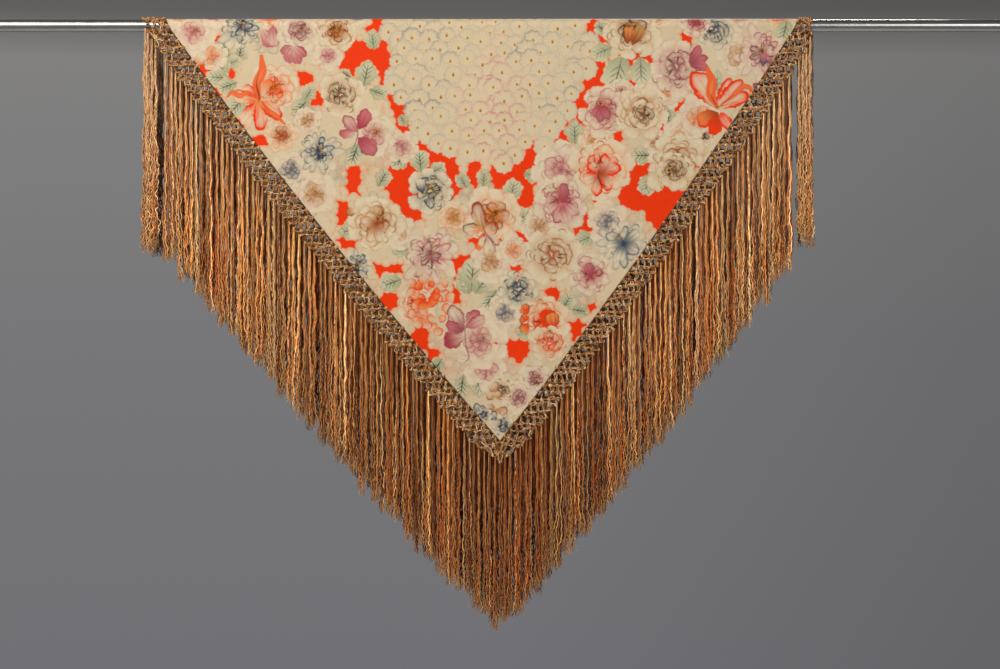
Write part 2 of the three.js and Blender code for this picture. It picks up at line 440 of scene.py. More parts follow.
    def petal(self, x, v, angle, length, width, inner, outer, rim, rim_strength=0.7,
              streaks=0.25, ruffle=0.07, widest=0.62, rim_width=1.9):
        """One petal: its base at x, v, its direction in degrees, and its colours."""
        a = math.radians(angle)
        c, s = math.cos(a), math.sin(a)
        reach = length / 2 + width + 4
        found, dx, dv = self.near(x + c * length / 2, v + s * length / 2, reach)
        dx, dv = dx + c * length / 2, dv + s * length / 2
        down, across = dx * c + dv * s, -dx * s + dv * c
        t = down / length
        lower = width * np.sin(math.pi / 2 * np.clip(t / widest, 0, 1)) ** 0.75
        round_end = np.hypot(np.clip((t - widest) / (1 - widest), 0, None), across / width)
        edge = np.where(t < widest, lower - np.abs(across), width * (1 - round_end))
        edge = np.where(t < 0, -np.hypot(down, across) - 1, edge)
        turn = np.arctan2(across, down - 0.45 * length)
        phase = self.dice.random() * 6.3
        edge += ruffle * width * (np.sin(5 * turn + phase) + 0.6 * np.sin(11 * turn + 2 * phase))
        cover = np.clip(edge / 1.3 + 0.5, 0, 1)
        colour = inner + smooth(t * 1.15)[:, None] * (outer - inner)
        side = np.clip(0.6 + 0.75 * np.sin(turn + phase), 0.12, 1.3) * smooth(t * 3)
        inside = np.clip(edge, 0, None)
        shade = 0.5 * np.exp(-((inside / (3.4 * rim_width)) ** 2)) + np.exp(-((inside / rim_width) ** 2))
        lines = (0.5 + 0.5 * np.cos(across / np.maximum(lower, 2) * 9 + phase)) ** 5
        lines *= streaks * smooth(1.25 - t) * smooth(t * 4)
        colour += np.clip(shade * rim_strength * side + lines, 0, 1)[:, None] * (rim - colour)
        drawn = np.exp(-(((edge - 0.7) / 1.0) ** 2)) * np.clip(side, 0, 1)
        colour += (0.6 * max(rim_strength - 0.4, 0) * drawn)[:, None] * (0.4 * rim - colour)
        self.lay(found, cover, colour)

    def curl(self, route, width, colour, heart):
        """A long petal that curls: a broad stroke with a lighter one along its middle and a shaded root."""
        self.stroke(route, width + 2.5, 0.5 * (colour + RUST), 0.5)
        self.stroke(route, width, 0.6 * colour + 0.4 * APRICOT, 1.0)
        self.stroke(route[1:], 0.62 * width, 0.5 * (colour + heart), 0.6)
        self.stroke(route[1:-1], 0.3 * width, heart, 0.7)
        self.stroke(route[:2], 0.22 * width, 0.6 * RUST, 0.5)

    def ring(self, x, v, count, start, reach, length, width, inner, outer, rim, **more):
        """Petals set round a centre, each beginning at reach from it."""
        turn = self.dice.random() * 360
        for i in self.dice.permutation(count):
            angle = turn + start + 360 * i / count + self.dice.normal() * 7
            a = math.radians(angle)
            size = 1 + 0.13 * self.dice.normal()
            self.petal(
                x + reach * math.cos(a), v + reach * math.sin(a), angle,
                length * size, width * size, inner, outer, rim, **more,
            )

    def fan(self, x, v, spread, width, *dyes, **more):
        """Petals of one width from one point. Spread holds their directions and lengths."""
        for angle, length in spread:
            self.petal(x, v, angle, length, width, *dyes, **more)

    def stamens(self, x, v, size, colour=GOLD):
        """Dark filaments and gold anthers."""
        for _ in range(7):
            a = self.dice.random() * 6.3
            r = size * (0.5 + 0.6 * self.dice.random())
            tip = (x + r * math.cos(a), v + r * math.sin(a))
            self.stroke([(x, v), tip], 1.5, INK, 0.6)
            found, dx, dv = self.near(*tip, 5)
            self.lay(found, 1.6 - np.hypot(dx, dv) / 1.4, colour)

    def brushed(self, x, v, r, tint, deep, strength, count=9):
        """Brush strokes over a flower: crescents at the petals' ends, darker ones at their roots."""
        for _ in range(count):
            middle, reach = self.dice.uniform(0, 2 * math.pi), r * self.dice.uniform(0.4, 0.9)
            size, lean = r * self.dice.uniform(0.1, 0.17), self.dice.uniform(-0.5, 0.5)
            cx, cv = x + reach * math.cos(middle), v + reach * math.sin(middle)
            arc = [(cx + size * math.cos(middle + lean + turn), cv + size * math.sin(middle + lean + turn))
                   for turn in (-1.3, -0.65, 0.0, 0.65, 1.3)]
            self.stroke(arc, 2.8, 0.3 * tint + 0.42 * deep, strength)
        for _ in range(count):
            start = self.dice.uniform(0, 2 * math.pi)
            near, far = r * self.dice.uniform(0.12, 0.3), r * self.dice.uniform(0.36, 0.55)
            bend = self.dice.uniform(-0.35, 0.35)
            route = [(x + reach * math.cos(start + swing), v + reach * math.sin(start + swing))
                     for reach, swing in ((near, 0.0), ((near + far) / 2, 0.4 * bend), (far, bend))]
            self.stroke(route, 2.8, 0.4 * deep, 1.1 * strength)

    def bloom(self, x, v, r, tint, deep, vigour=0.6, core=True):
        """A full flower: rings of cupped petals from a pale outside to a deep heart."""
        blush = toward(CREAM, tint, 0.5)
        self.ring(x, v, 10, 0, 0.5 * r, 0.62 * r, 0.3 * r, blush, PALE, blush,
                  rim_strength=0.6, streaks=0.2)
        self.ring(x, v, 9, 12, 0.28 * r, 0.58 * r, 0.28 * r, toward(tint, deep, 0.35 * vigour), PALE, tint,
                  rim_strength=vigour, streaks=0.35)
        self.ring(x, v, 7, 5, 0.1 * r, 0.5 * r, 0.24 * r, deep, toward(CREAM, tint, 0.3), deep,
                  rim_strength=vigour + 0.2, streaks=0.45)
        self.ring(x, v, 5, 0, 0.0, 0.33 * r, 0.17 * r, toward(deep, INK, 0.4), tint, deep,
                  rim_strength=0.9, streaks=0.6)
        self.brushed(x, v, r, tint, deep, vigour)
        if core:
            self.stamens(x + 0.1 * r, v + 0.12 * r, 0.2 * r)

    def spray(self, x, v, r, tint, deep, ground=CREAM):
        """A flower of many narrow petals, like a chrysanthemum."""
        self.ring(x, v, 13, 0, 0.2 * r, 0.85 * r, 0.17 * r, toward(ground, tint, 0.6), PALE,
                  toward(ground, tint, 0.5), rim_strength=0.6, streaks=0.3)
        self.ring(x, v, 11, 9, 0.1 * r, 0.62 * r, 0.14 * r, tint, PALE, tint,
                  rim_strength=0.75, streaks=0.4)
        self.ring(x, v, 8, 0, 0.0, 0.42 * r, 0.12 * r, deep, PALE, deep,
                  rim_strength=0.95, streaks=0.6)
        self.brushed(x, v, r, tint, deep, 0.75)
        self.stamens(x, v + 0.1 * r, 0.18 * r)

    def coils(self, x, v, r, tint, deep, ground=CREAM, turns=9):
        """A rose drawn as overlapping crescents that wind inward."""
        self.ring(x, v, 9, 0, 0.45 * r, 0.6 * r, 0.3 * r, toward(ground, tint, 0.5), PALE,
                  toward(ground, tint, 0.4), rim_strength=0.6, streaks=0.2)
        for i in range(turns):
            a = math.radians(GOLDEN_ANGLE * i)
            reach = 0.22 * r * (1 - i / turns)
            length = 0.42 * r * (1.25 - 0.6 * i / turns)
            width = 0.3 * r * (1.2 - 0.6 * i / turns)
            self.petal(x + reach * math.cos(a), v + reach * math.sin(a), math.degrees(a), length, width,
                       deep, ground, toward(tint, deep, 0.6), rim_strength=1.0, streaks=0.3, rim_width=2.2)
        self.brushed(x, v, r, tint, deep, 0.75)

    def berries(self, x, v, rx, rv, count, tint, deep, ground):
        """A cluster of small round petals."""
        for _ in range(count):
            a, r = self.dice.random() * 6.3, math.sqrt(self.dice.random())
            size = 7.5 + 4 * self.dice.random()
            angle = math.degrees(a) + 20 * self.dice.normal()
            self.petal(x + rx * r * math.cos(a), v + rv * r * math.sin(a), angle, 1.9 * size, size,
                       tint, ground, deep, rim_strength=0.8, streaks=0.3, rim_width=1.6)

    def leaf(self, x, v, angle, length, dark, width=None):
        """A lobed leaf with its veins, centred on x, v."""
        width = width or 0.4 * length
        a = math.radians(angle)
        c, s = math.cos(a), math.sin(a)
        bx, bv = x - c * length / 2, v - s * length / 2
        self.petal(bx, bv, angle, length * 1.04, width * 1.12, CREAM, CREAM, APRICOT, rim_strength=0.35,
                   streaks=0.0, ruffle=0.1, widest=0.5, rim_width=1.4)
        self.petal(bx, bv, angle, length, width, SAGE, LEAF_PALE, SAGE, rim_strength=0.5,
                   streaks=0.1, ruffle=0.1, widest=0.5)
        self.stroke([(bx, bv), (x, v), (x + c * length * 0.4, v + s * length * 0.4)], 3.0, FOREST, dark)
        for i in (0.3, 0.48, 0.66):
            px, pv = bx + c * length * i, bv + s * length * i
            for turn in (42, -42):
                b = math.radians(angle + turn)
                tip = (px + 0.8 * width * math.cos(b), pv + 0.8 * width * math.sin(b))
                self.stroke([(px, pv), tip], 2.4, FOREST, dark * 0.75)

    def rosette(self, x, v, r, rim, strength):
        """One small round flower of the middle field, its upper rim shaded and a dot at its heart."""
        found, dx, dv = self.near(x, v, 1.3 * r)
        turn = np.arctan2(dv, dx)
        phase = self.dice.random() * 6.3
        away = np.hypot(dx, dv)
        size = r * (1 + 0.05 * np.sin(9 * turn + phase) + 0.03 * np.sin(17 * turn + phase))
        edge = size - away
        upper = smooth(0.35 + np.sin(turn + 0.5 * math.sin(phase)))
        rays = (0.5 + 0.5 * np.cos(17 * turn + phase)) ** 3
        colour = np.tile(CREAM + 0.35 * (PALE - CREAM), (len(found), 1))
        broken = smooth(1.2 * self.noise(x + dx, v + dv, 9.0, 3.0) + 0.1)
        shade = np.exp(-((np.clip(edge, 0, None) / 4.6) ** 2)) * upper * strength * broken
        shade += 0.16 * rays * smooth(away / r) * smooth(edge / 3)
        shade += 0.2 * np.exp(-((edge - 0.8) ** 2) / 1.2)
        colour += np.clip(shade, 0, 1)[:, None] * (rim - colour)
        glow = np.exp(-((away / 5.0) ** 2)) * 0.55
        colour += glow[:, None] * (YELLOW - colour)
        self.lay(found, edge / 1.3 + 0.5, colour)
        dot = 1.9 + 0.7 * self.dice.random()
        found, dx, dv = self.near(x, v, 7)
        self.lay(found, 0.5 + dot - np.hypot(dx, dv / 1.5), GOLD)
        found, dx, dv = self.near(x + 0.5, v - 1.2, 6)
        heart = RUST if self.dice.random() < 0.6 else BROWN
        self.lay(found, 0.2 + 0.7 * dot - np.hypot(dx, dv / 1.3), heart)


FIELD_X = 18.0
FIELD_HALF = 222.0
FIELD_BOTTOM = -300.0
ROSETTE_PITCH = 36
ROSETTE_ROW = 24
FAINT_FLOWERS = 230


def field_half(v):
    """Half the width of the middle field of rosettes at height v."""
    down = np.clip(-v, 0, None) / -FIELD_BOTTOM
    return FIELD_HALF * np.sqrt(np.clip(1 - down**2.6, 0, 1))



# The ground colour shows in patches between the flowers: x, v and half sizes.
PATCHES = [
    (-220, -10, 12, 27), (-243, -66, 44, 30), (-133, -236, 16, 18), (-165, -330, 30, 46),
    (-269, -319, 14, 26), (-88, -279, 24, 22), (-60, -321, 15, 33), (-17, -309, 9, 25),
    (64, -311, 40, 32), (85, -361, 18, 22), (110, -285, 22, 38), (239, 6, 14, 15),
    (245, -44, 12, 13), (247, -93, 29, 33), (206, -172, 15, 27), (159, -226, 28, 22),
    (310, -96, 17, 40), (354, -69, 11, 12), (363, -15, 7, 10), (422, -169, 18, 11),
    (378, -216, 8, 13), (286, -231, 7, 12), (428, -23, 7, 8), (322, -329, 40, 52),
    (384, -376, 34, 42), (447, -279, 12, 12), (211, -414, 18, 32), (249, -382, 8, 21),
    (-7, -444, 11, 20), (-55, -407, 7, 9), (43, -441, 8, 11), (80, -447, 9, 13),
    (70, -500, 8, 17), (-36, -504, 24, 17), (-288, -395, 13, 23), (-280, -447, 20, 8),
    (-214, -509, 11, 12), (-180, -508, 10, 9), (-195, -574, 16, 13), (-130, -650, 14, 27),
    (-105, -689, 9, 9), (-48, -531, 11, 22), (-57, -571, 8, 10), (150, -566, 12, 16),
    (78, -678, 21, 19), (38, -672, 8, 8), (200, -634, 10, 16), (-578, 2, 9, 15),
    (-527, -95, 8, 14), (-372, -105, 13, 13), (-340, -69, 9, 8), (-344, -153, 10, 11),
    (-506, -206, 8, 10), (-469, -239, 16, 9), (-100, -720, 8, 6), (228, -590, 9, 8),
]


# Longer runs of it: a route and its half width.
BANDS = [
    ([(-234, -52), (-208, -84), (-190, -126), (-174, -168), (-160, -206)], 20),
    ([(-552, -30), (-562, -62), (-584, -92), (-560, -132)], 17),
    ([(-286, -84), (-252, -58)], 17),
    ([(-146, -226), (-122, -262), (-100, -288)], 13),
    ([(40, -298), (96, -318), (122, -262), (150, -232), (176, -214), (200, -180)], 15),
    ([(228, -120), (262, -76), (240, -20)], 15),
    ([(-172, -300), (-160, -366), (-146, -398)], 17),
    ([(310, -300), (330, -350), (372, -372), (412, -366)], 26),
]


def paint_left(p):
    p.bloom(-352, -352, 42, BLUSH, TAN, 0.4)
    for faint in (
        (-366, -196, 26, BLUSH, TAN, 0.5), (-420, -228, 34, APRICOT, RUST, 0.3),
        (-566, -60, 30, BLUSH, APRICOT, 0.4), (-400, -300, 36, BLUSH, SLATE, 0.4),
        (-322, -60, 30, BLUSH, PINK, 0.3), (-176, -430, 34, BLUSH, TAN, 0.4),
        (-168, -250, 32, BLUSH, PINK, 0.3),
    ):
        p.bloom(*faint, core=False)
    p.spray(-505, 0, 46, SLATE, BLUE)
    p.bloom(-608, -12, 42, BLUSH, PINK, 0.4)
    p.petal(-462, -4, 300, 44, 15, BLUSH, PINK, ROSE, streaks=0.5)
    p.petal(-440, 4, 275, 46, 13, PINK, BLUSH, ROSE, streaks=0.5)
    p.bloom(-382, -8, 44, BLUSH, MAUVE, 0.55)
    p.fan(-396, -40, [(215, 30), (250, 38), (285, 40), (318, 34)], 12, BLUSH, PINK, ROSE, streaks=0.6)
    p.bloom(-304, -8, 38, TAN, RUST, 0.8)
    p.coils(-296, -142, 42, TAN, BROWN, turns=12)
    p.spray(-344, -262, 44, SLATE, BLUE)
    # the long-petalled orange flower
    p.bloom(-436, -128, 44, APRICOT, ORANGE, 0.7)
    for angle, length, width in ((140, 44, 14), (168, 58, 14), (236, 62, 16), (274, 64, 15), (322, 60, 15)):
        p.petal(-468, -154, angle, length, width, APRICOT, PALE, ORANGE, streaks=0.4,
                rim_strength=1.0, rim_width=4)
    p.curl([(-467, -150), (-474, -122), (-460, -92), (-463, -62)], 18, ORANGE, APRICOT)
    p.curl([(-470, -150), (-492, -136), (-508, -146), (-526, -136), (-534, -146)], 9, ORANGE, APRICOT)
    p.curl([(-462, -158), (-446, -178), (-432, -186), (-414, -204)], 9, ORANGE, APRICOT)
    p.petal(-462, -146, 62, 40, 11, CREAM, APRICOT, ORANGE, rim_strength=0.9)
    p.stroke([(-470, -160), (-466, -148), (-474, -120), (-468, -96)], 3.2, BROWN, 0.8)
    p.stamens(-441, -128, 9)
    p.petal(-600, -84, 60, 30, 12, APRICOT, PALE, RUST)
    # the pink flower with two deep petals
    p.bloom(-226, -226, 42, BLUSH, PINK, 0.4)
    p.petal(-262, -222, 128, 44, 13, PINK, BLUSH, ROSE, streaks=0.5)
    p.petal(-258, -216, 66, 46, 15, ROSE, PINK, ROSE, streaks=0.6)
    p.petal(-264, -226, 176, 36, 10, BLUSH, PINK, ROSE)
    p.petal(-260, -232, 318, 50, 18, ROSE, PINK, MAUVE, streaks=0.6)
    p.stroke([(-264, -206), (-260, -222), (-264, -240), (-274, -262)], 3.0, INK, 0.7)
    p.stamens(-222, -222, 7)
    p.bloom(-222, -412, 52, TAN, RUST, 0.7)
    p.fan(-222, -414, [(130, 30), (165, 34), (250, 42), (285, 40)], 11, RUST, PALE, TAN, streaks=0.5)
    p.stamens(-208, -392, 12)
    p.petal(-262, -386, 190, 24, 9, PALE, TAN, RUST)
    p.spray(-262, -502, 34, SLATE, BLUE)


def paint_middle(p):
    for faint in (
        (20, -492, 40, BLUSH, TAN, 0.4), (66, -470, 30, BLUSH, APRICOT, 0.4),
        (8, -718, 42, BLUSH, PINK, 0.4), (76, -778, 36, BLUSH, MAUVE, 0.4),
        (-60, -400, 30, APRICOT, TAN, 0.4), (48, -600, 34, BLUSH, SLATE, 0.4),
    ):
        p.bloom(*faint, core=False)
    p.coils(-108, -344, 46, SLATE, INK, turns=12)
    p.petal(-124, -350, 105, 32, 10, BLUE, PALE, BLUE, streaks=0.6)
    p.petal(-112, -356, 285, 26, 9, SLATE, PALE, BLUE, streaks=0.5)
    p.stamens(-104, -338, 8)
    p.bloom(24, -396, 54, APRICOT, RUST, 0.55)
    p.petal(2, -430, 104, 64, 15, TAN, PALE, RUST, streaks=0.4, rim_strength=1.0, rim_width=3.2)
    p.petal(2, -424, 182, 42, 13, APRICOT, PALE, BROWN)
    p.petal(6, -432, 250, 40, 9, ORANGE, APRICOT, ORANGE)
    p.fan(14, -432, [(235, 34), (262, 46), (285, 44), (310, 34)], 7, BLUSH, PALE, RUST)
    p.stroke([(-2, -404), (6, -430), (22, -452), (28, -474)], 2.6, BROWN, 0.8)
    p.stamens(30, -388, 13)
    p.spray(-109, -478, 58, PINK, MAUVE, ground=BLUSH + 0.6 * (CREAM - BLUSH))
    p.stroke([(-128, -496), (-112, -502), (-98, -512), (-92, -528)], 2.4, INK, 0.7)
    p.stamens(-112, -448, 10)
    p.bloom(-136, -580, 36, APRICOT, ORANGE, 0.8, core=False)
    p.berries(-112, -582, 38, 52, 36, APRICOT, ORANGE, CREAM)
    p.berries(-118, -556, 16, 20, 9, ORANGE, ORANGE, APRICOT)
    p.bloom(-6, -660, 56, BLUSH, PINK, 0.35, core=False)
    p.petal(-38, -640, 118, 60, 17, MAUVE, PALE, ROSE, streaks=0.5)
    p.petal(-34, -632, 52, 44, 16, BLUSH, PINK, ROSE, streaks=0.5)
    p.petal(-34, -632, 28, 46, 13, PINK, BLUSH, ROSE, streaks=0.5)
    p.petal(-36, -650, 196, 46, 19, BLUSH, ROSE, ROSE, streaks=0.5)
    p.petal(-40, -642, 150, 40, 12, MAUVE, PINK, ROSE)
    p.stroke([(-26, -612), (-36, -636), (-34, -668), (-26, -696), (-38, -706)], 3.2, MAUVE, 0.9)
    p.stamens(4, -654, 11)
    p.coils(76, -552, 40, SLATE, BLUE, turns=8)
    p.bloom(132, -618, 46, APRICOT, ORANGE, 0.9)
    p.berries(108, -612, 26, 18, 10, ORANGE, RUST, APRICOT)
    p.petal(132, -632, 70, 40, 18, ORANGE, ORANGE, RUST, streaks=0.8)
    p.petal(152, -634, 100, 34, 14, ORANGE, APRICOT, RUST, streaks=0.8)
    p.coils(142, -664, 38, APRICOT, ORANGE, turns=12)
    p.stamens(144, -640, 7)
    p.bloom(112, -738, 30, BLUSH, MAUVE, 0.6)
    p.coils(40, -762, 24, TAN, BROWN, turns=9)
    p.berries(32, -792, 12, 26, 9, TAN, RUST, CREAM)
    for i in range(6):
        p.petal(-8 + 9 * i, -812 - 5 * i, 100 - 12 * i, 22, 8, SLATE, PALE, BLUE)
    p.coils(44, -838, 22, SLATE, BLUE, turns=7)
    p.coils(4, -814, 16, SLATE, BLUE, turns=6)


def paint_right(p):
    for faint in (
        (380, -136, 36, BLUSH, APRICOT, 0.4), (540, -60, 42, BLUSH, TAN, 0.4),
        (290, -140, 30, BLUSH, PINK, 0.4), (424, -234, 40, BLUSH, APRICOT, 0.4),
    ):
        p.bloom(*faint, core=False)
    p.bloom(466, -226, 24, BLUSH, BROWN, 0.6)
    for faint in (
        (368, -244, 26, BLUSH, TAN, 0.5), (262, -408, 40, BLUSH, SLATE, 0.4),
        (120, -420, 34, BLUSH, TAN, 0.4), (240, -240, 34, APRICOT, TAN, 0.4),
        (166, -300, 56, BLUSH, PINK, 0.5),
    ):
        p.bloom(*faint, core=False)
    p.bloom(168, -372, 52, PINK, ROSE, 0.7)
    p.petal(172, -372, 92, 44, 13, ROSE, PINK, MAUVE, streaks=0.7, rim_strength=0.9)
    p.fan(170, -370, [(215, 34), (250, 44), (285, 44), (320, 34)], 13, PINK, BLUSH, ROSE, streaks=0.5)
    p.stamens(152, -338, 9)
    p.bloom(252, -298, 58, APRICOT, ORANGE, 0.9)
    p.fan(250, -308, [(20, 44), (75, 42), (140, 34), (200, 40), (255, 48), (300, 40)],
          13, RUST, PALE, ORANGE, streaks=0.5, rim_strength=1.0, rim_width=4)
    p.stroke([(246, -300), (244, -314), (250, -330), (262, -336)], 4.0, BROWN, 0.8)
    p.stamens(246, -286, 10, INK)
    p.bloom(408, -290, 58, TAN, RUST, 0.65)
    p.coils(404, -300, 36, TAN, BROWN, turns=10)
    p.stamens(400, -298, 8)
    p.coils(147, -478, 58, TAN, RUST, turns=14)
    p.stamens(150, -452, 8)
    p.spray(296, -456, 54, SLATE, BLUE)
    p.fan(298, -456, [(150, 42), (190, 36), (40, 42), (330, 36), (250, 36)],
          13, BLUE, PALE, SLATE, streaks=0.7)
    p.stamens(286, -440, 9)
    p.bloom(228, -520, 40, PINK, ROSE, 0.7)
    p.petal(232, -524, 110, 30, 11, ROSE, PINK, MAUVE, streaks=0.6)
    p.bloom(256, -176, 48, PINK, ROSE, 0.6)
    p.fan(252, -164, [(230, 30), (262, 36), (295, 32)], 10, ROSE, PINK, MAUVE, streaks=0.6)
    p.stamens(250, -156, 8)
    p.bloom(336, -178, 50, TAN, RUST, 0.6)
    p.coils(340, -184, 30, TAN, BROWN, turns=9)
    p.stamens(326, -172, 8)
    p.bloom(316, -6, 56, TAN, BROWN, 0.7)
    p.petal(316, -38, 64, 46, 13, RUST, TAN, BROWN, streaks=0.6)
    p.petal(306, -36, 88, 40, 12, RUST, APRICOT, BROWN, streaks=0.6)
    p.stamens(306, 2, 10)
    p.coils(410, -84, 58, PINK, MAUVE, ground=BLUSH + 0.5 * (CREAM - BLUSH), turns=14)
    p.fan(436, -78, [(22, 40), (58, 44), (350, 40)], 11, MAUVE, PINK, ROSE, streaks=0.6)
    p.coils(491, -8, 38, SLATE, BLUE, turns=11)
    p.spray(588, -58, 58, PINK, MAUVE, ground=PALE)
    p.petal(590, -84, 84, 30, 8, SLATE, PINK, BLUE, streaks=0.5)
    p.petal(604, -88, 60, 32, 9, PINK, BLUSH, MAUVE, streaks=0.5)
    p.petal(568, -120, 330, 30, 11, MAUVE, PINK, MAUVE)
    p.stamens(586, -50, 10)
    p.bloom(448, 10, 30, PINK, ROSE, 0.5, core=False)
    # the orange flower with long curled petals
    p.bloom(454, -190, 40, BLUSH, APRICOT, 0.5, core=False)
    p.leaf(494, -122, 90, 64, 0.5, width=10)
    for angle, length, width in ((124, 88, 24), (62, 66, 15), (44, 76, 18), (22, 72, 16)):
        p.petal(494, -168, angle, length, width, CREAM, PALE, ORANGE, streaks=0.4,
                rim_strength=1.0, rim_width=4.5)
    p.curl([(494, -168), (480, -142), (484, -114), (474, -88)], 20, ORANGE, APRICOT)
    p.curl([(502, -164), (528, -144), (548, -124), (564, -128), (568, -150)], 10, ORANGE, APRICOT)
    p.petal(490, -176, 220, 46, 18, RUST, APRICOT, ORANGE, streaks=0.4, rim_strength=1.0, rim_width=4)
    p.petal(494, -178, 262, 50, 15, RUST, ORANGE, ORANGE, streaks=0.6)
    p.petal(500, -178, 302, 46, 12, ORANGE, PALE, ORANGE, streaks=0.4, rim_strength=1.0, rim_width=3.5)
    p.stroke([(466, -156), (490, -170), (512, -164), (534, -146)], 2.4, RUST, 0.8)


# Leaves: x, v, the way they point, their length, and how dark their veins are.
LEAVES = [
    (-538, -46, 118, 46, 0.8), (-508, -56, 80, 42, 0.9), (-522, -74, 20, 34, 0.5),
    (-548, -84, 128, 44, 0.7), (-554, -106, 176, 46, 0.7), (-534, -124, 200, 42, 0.8),
    (-514, -164, 232, 46, 0.9), (-380, -168, 225, 44, 0.9), (-364, -140, 60, 36, 0.6),
    (-286, -100, 150, 26, 0.9), (-229, -28, 98, 40, 0.6), (-243, -100, 78, 52, 0.8),
    (-218, -138, 340, 38, 0.7), (-268, -268, 250, 46, 1.0), (-352, -208, 215, 28, 1.0),
    (-410, -296, 300, 50, 0.8), (-208, -318, 62, 40, 0.8), (-172, -282, 190, 40, 1.0),
    (-130, -282, 95, 46, 0.8), (-94, -300, 24, 36, 0.6), (-40, -324, 118, 34, 0.6),
    (4, -318, 84, 36, 0.6), (-278, -428, 190, 42, 0.8), (64, -344, 78, 46, 0.7),
    (106, -312, 350, 36, 0.5), (84, -400, 18, 46, 0.7), (-190, -538, 200, 46, 0.8),
    (-36, -540, 118, 46, 0.7), (-20, -522, 86, 66, 0.9), (0, -540, 55, 50, 0.7),
    (18, -572, 236, 46, 0.9), (92, -640, 178, 40, 0.8), (-96, -716, 236, 44, 1.0),
    (-42, -754, 262, 46, 1.0), (-8, -750, 292, 50, 0.9), (216, -446, 205, 44, 0.6),
    (252, -52, 205, 46, 0.6), (252, -4, 140, 34, 0.9), (286, -96, 256, 74, 0.9),
    (334, -92, 272, 56, 0.7), (391, -186, 96, 34, 1.0), (338, -270, 182, 44, 0.9),
    (348, -330, 250, 44, 0.7), (195, -222, 92, 48, 0.7), (636, -8, 256, 48, 0.8),
    (-166, -196, 300, 26, 0.5), (-66, -462, 340, 34, 0.5), (-170, -470, 190, 34, 0.5),
    (178, -578, 60, 40, 0.7), (206, -596, 350, 36, 0.8),
]


# Flowers that lie over the rail: x, radius and dyes.
RIDGE_FLOWERS = [
    (-640, 30, BLUSH, APRICOT), (-566, 36, BLUSH, PINK), (-448, 34, APRICOT, ORANGE),
    (-342, 34, BLUSH, TAN), (-262, 26, BLUSH, SLATE), (268, 30, BLUSH, PINK), (370, 34, APRICOT, TAN),
    (448, 34, BLUSH, PINK), (540, 38, BLUSH, TAN), (626, 34, APRICOT, ORANGE),
]


def paint(x, v, seed):
    """The whole print at points x, v: a field of rosettes inside a broad border of flowers."""
    p = Print(x, v, seed)
    mottled = p.noise(x, v, 55.0) - 0.5 + 0.6 * (p.noise(x, v, 17.0) - 0.5)
    p.dyed *= (1 + 0.05 * mottled)[:, None]
    # faint flowers fill the cream ground
    for _ in range(FAINT_FLOWERS):
        cx, cv = p.dice.uniform(-640, 640), p.dice.uniform(-840, 20)
        tint = (BLUSH, SLATE, TAN, PINK, SAGE)[p.dice.integers(5)]
        p.ring(cx, cv, 7, 0, 6, 26, 11, toward(CREAM, tint, 0.3), CREAM, toward(CREAM, tint, 0.45),
               rim_strength=0.6, streaks=0.2, rim_width=1.8)
    p.ground(PATCHES, BANDS)
    # the field, from the top row down, since each row lies over the one above
    row, level = 0, RIDGE_V + 14
    while level > FIELD_BOTTOM:
        offset = ROSETTE_PITCH / 2 * (row % 2)
        for column in range(-7, 8):
            cx = FIELD_X + column * ROSETTE_PITCH + offset + p.dice.normal() * 6.5
            cv = level + p.dice.normal() * 6.0
            if abs(cx - FIELD_X) > field_half(cv - 8) - 6:
                continue
            pink = math.exp(-(((cx - 20) / 85) ** 2)) * (0.9 if cv < -120 or -80 > cv > -100 else 0.3)
            grey = 0.6 if (cx < -60 and cv > -190) or (cx > 70 and -190 < cv < -20) else 0.15
            strong = p.dice.uniform(0.15, 1.0) ** 1.6
            rim, strength = (PINK, pink * (0.4 + 0.6 * strong)) if pink > 0.28 else (SLATE, grey * strong)
            p.rosette(cx, cv, 21 + p.dice.normal() * 2.4, rim, strength)
        level -= ROSETTE_ROW
        row += 1
    for cx, r, tint, deep in RIDGE_FLOWERS:
        p.bloom(cx, RIDGE_V + 2, r, tint, deep, 0.5)
    for leaf in LEAVES:
        p.leaf(*leaf)
    paint_left(p)
    paint_middle(p)
    paint_right(p)
    grain = p.noise(x, v, 3.2, 5.0) - 0.5
    p.dyed *= (1 + 0.05 * grain)[:, None]
    return np.clip(p.dyed, 0.0, 1.0)


# ---------------------------------------------------------------- the silk


def silk_layer(layer, rows, seed):
    """Half of the square, from the ridge to the apex, on an even lattice of triangles."""
    row = np.repeat(np.arange(rows + 1), np.arange(1, rows + 2))
    column = np.arange(len(row)) - row * (row + 1) // 2
    v = APEX_V + (RIDGE_V - APEX_V) * row / rows
    left, right = outline_x("left", v), outline_x("right", v)
    x = left + (right - left) * column / np.maximum(row, 1)
    here = np.flatnonzero(row < rows)
    below_left = here + row[here] + 1
    up = np.stack([here, below_left, below_left + 1], axis=-1)
    inner = here[column[here] < row[here]]
    down = np.stack([inner, inner + row[inner] + 2, inner + 1], axis=-1)
    faces = np.concatenate([up, down])
    if layer == "front":
        faces = faces[:, ::-1]
    return mesh_piece(f"cloth_{layer}", place(layer, x, v), faces, paint(x, v, seed), SILK)


# ---------------------------------------------------------------- hem and header

THREADS = [
    rgb(212, 156, 96), rgb(180, 114, 58), rgb(240, 204, 152), rgb(132, 78, 38), rgb(196, 160, 120)
]
THREAD_SHARE = (0.36, 0.24, 0.16, 0.14, 0.1)
HEM_ROLL = 1.4
STITCH_PITCH = 3.6


def thread_colours(dice, count):
    """A shade for each of so many threads."""
    chosen = np.array(THREADS)[dice.choice(len(THREADS), count, p=THREAD_SHARE)]
    return chosen * (1 + 0.2 * np.clip(dice.standard_normal((count, 1)), -2.5, 2.5))


